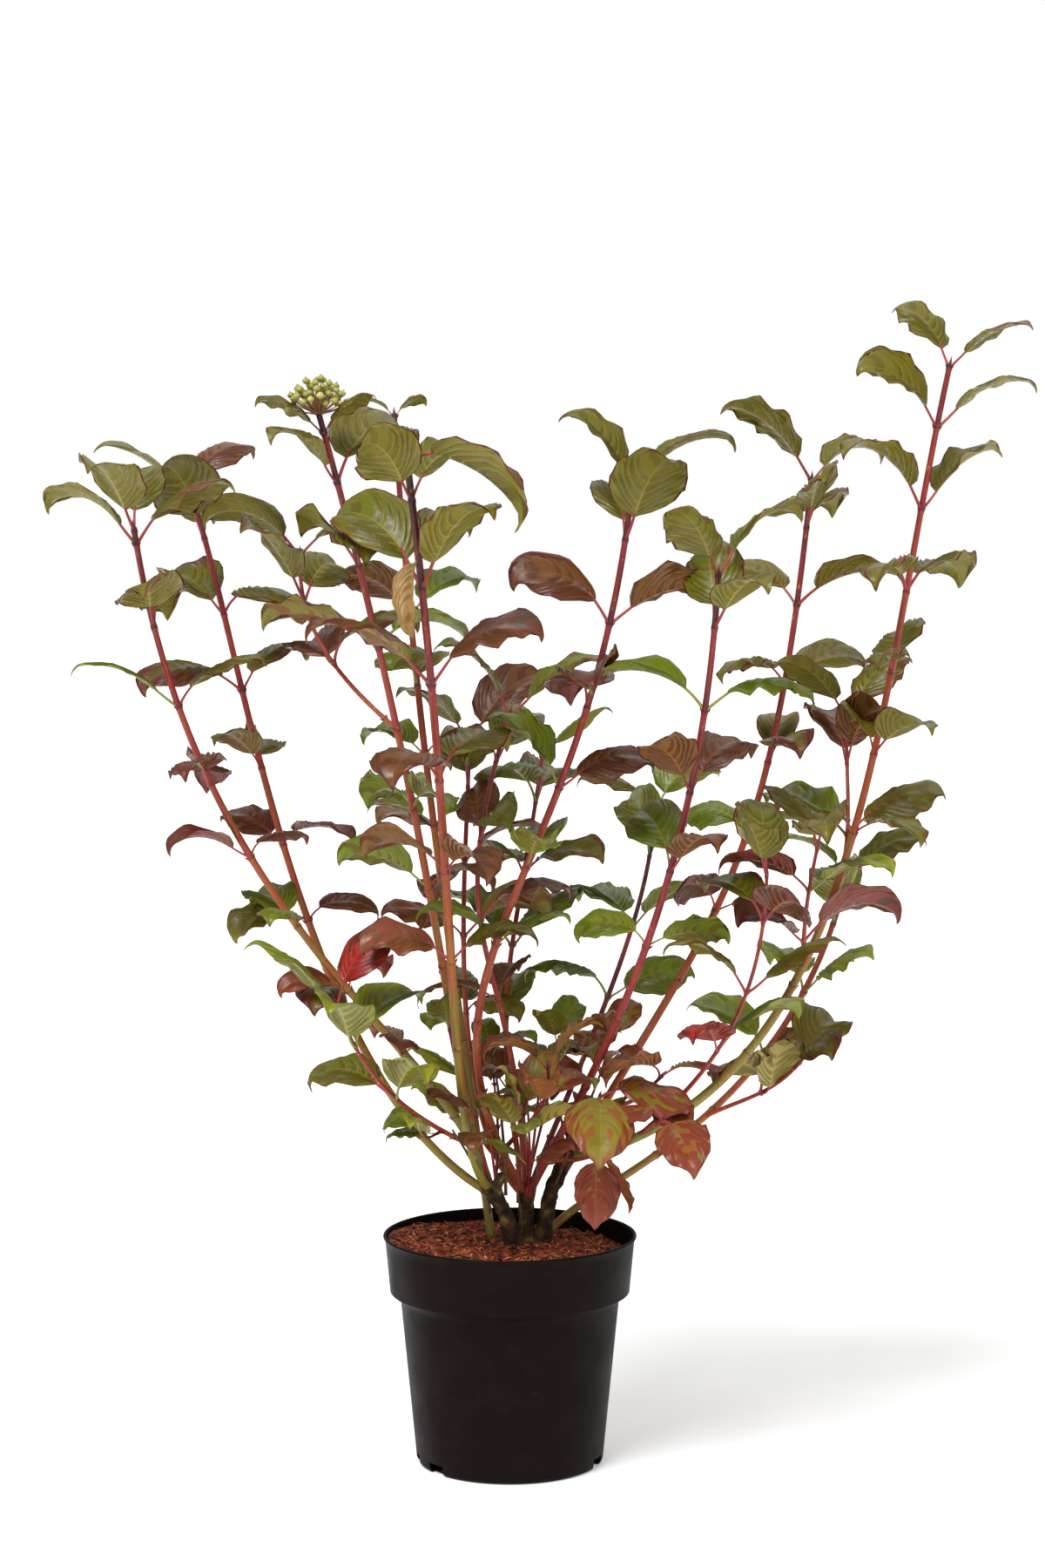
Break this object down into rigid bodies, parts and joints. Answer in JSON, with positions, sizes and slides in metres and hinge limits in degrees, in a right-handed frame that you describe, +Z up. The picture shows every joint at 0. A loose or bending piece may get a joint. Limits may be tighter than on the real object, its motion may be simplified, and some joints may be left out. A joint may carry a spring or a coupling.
{
  "type": "potted dogwood shrub",
  "caption": "Red-stemmed garden dogwood shrub in leaf, with canes fanning out of a short stool in a round plastic nursery pot.",
  "frame": {"origin": "centre of the flat underside of the pot", "axes": "+Z up along the pot's axis, front towards -Y, +X to the right seen from the front"},
  "size_m": [1.0019, 0.6817, 1.1788],
  "materials": {
    "pot": "moulded dark brown-black nursery plastic, satin, faint scuffs",
    "soil": "loose bark and coir potting mix, rough and matt",
    "old_bark": "gnarled brown-green old bark, matt",
    "red_bark": "smooth young bark, green-yellow at the foot to red at the tip, satin",
    "foliage": "olive green leaves with raised veins and early autumn tints, satin"
  },
  "bodies": {
    "root": {"arch_twig_front_leaves": "foliage", "arch_twig_leaves": "foliage", "back_left_cane": "red_bark", "back_left_leaves_1": "foliage", "back_left_leaves_2": "foliage", "back_right_cane": "red_bark", "back_right_leaves_1": "foliage", "back_right_leaves_2": "foliage", "berry_cane": "red_bark", "berry_leaves_1": "foliage", "berry_leaves_2": "foliage", "berry_twig_leaves": "foliage", "centre_back_cane": "red_bark", "centre_back_leaves_1": "foliage", "centre_cane": "red_bark", "centre_leaves_1": "foliage", "centre_leaves_2": "foliage", "far_left_cane": "red_bark", "far_left_leaves_1": "foliage", "far_left_leaves_2": "foliage", "far_right_cane": "red_bark", "far_right_leaves_1": "foliage", "far_right_leaves_2": "foliage", "front_cane": "red_bark", "front_leaves_1": "foliage", "front_leaves_2": "foliage", "left_cane": "red_bark", "left_leaves_1": "foliage", "left_leaves_2": "foliage", "low_back_leaves": "foliage", "low_front_leaves": "foliage", "low_left_leaves": "foliage", "low_middle_leaves": "foliage", "low_right_cane": "red_bark", "low_right_leaves_1": "foliage", "low_twig_leaves": "foliage", "middle_back_cane": "red_bark", "middle_back_leaves_1": "foliage", "middle_cane": "red_bark", "middle_leaves_1": "foliage", "pot": "pot", "red_shoot_leaves": "foliage", "right_cane": "red_bark", "right_leaves_1": "foliage", "right_leaves_2": "foliage", "rim_twig_leaves": "foliage", "soil": "soil", "thin_right_cane": "red_bark", "thin_right_leaves_1": "foliage", "trunk_left": "old_bark", "trunk_middle": "old_bark", "trunk_right": "old_bark"}
  },
  "joints": []
}
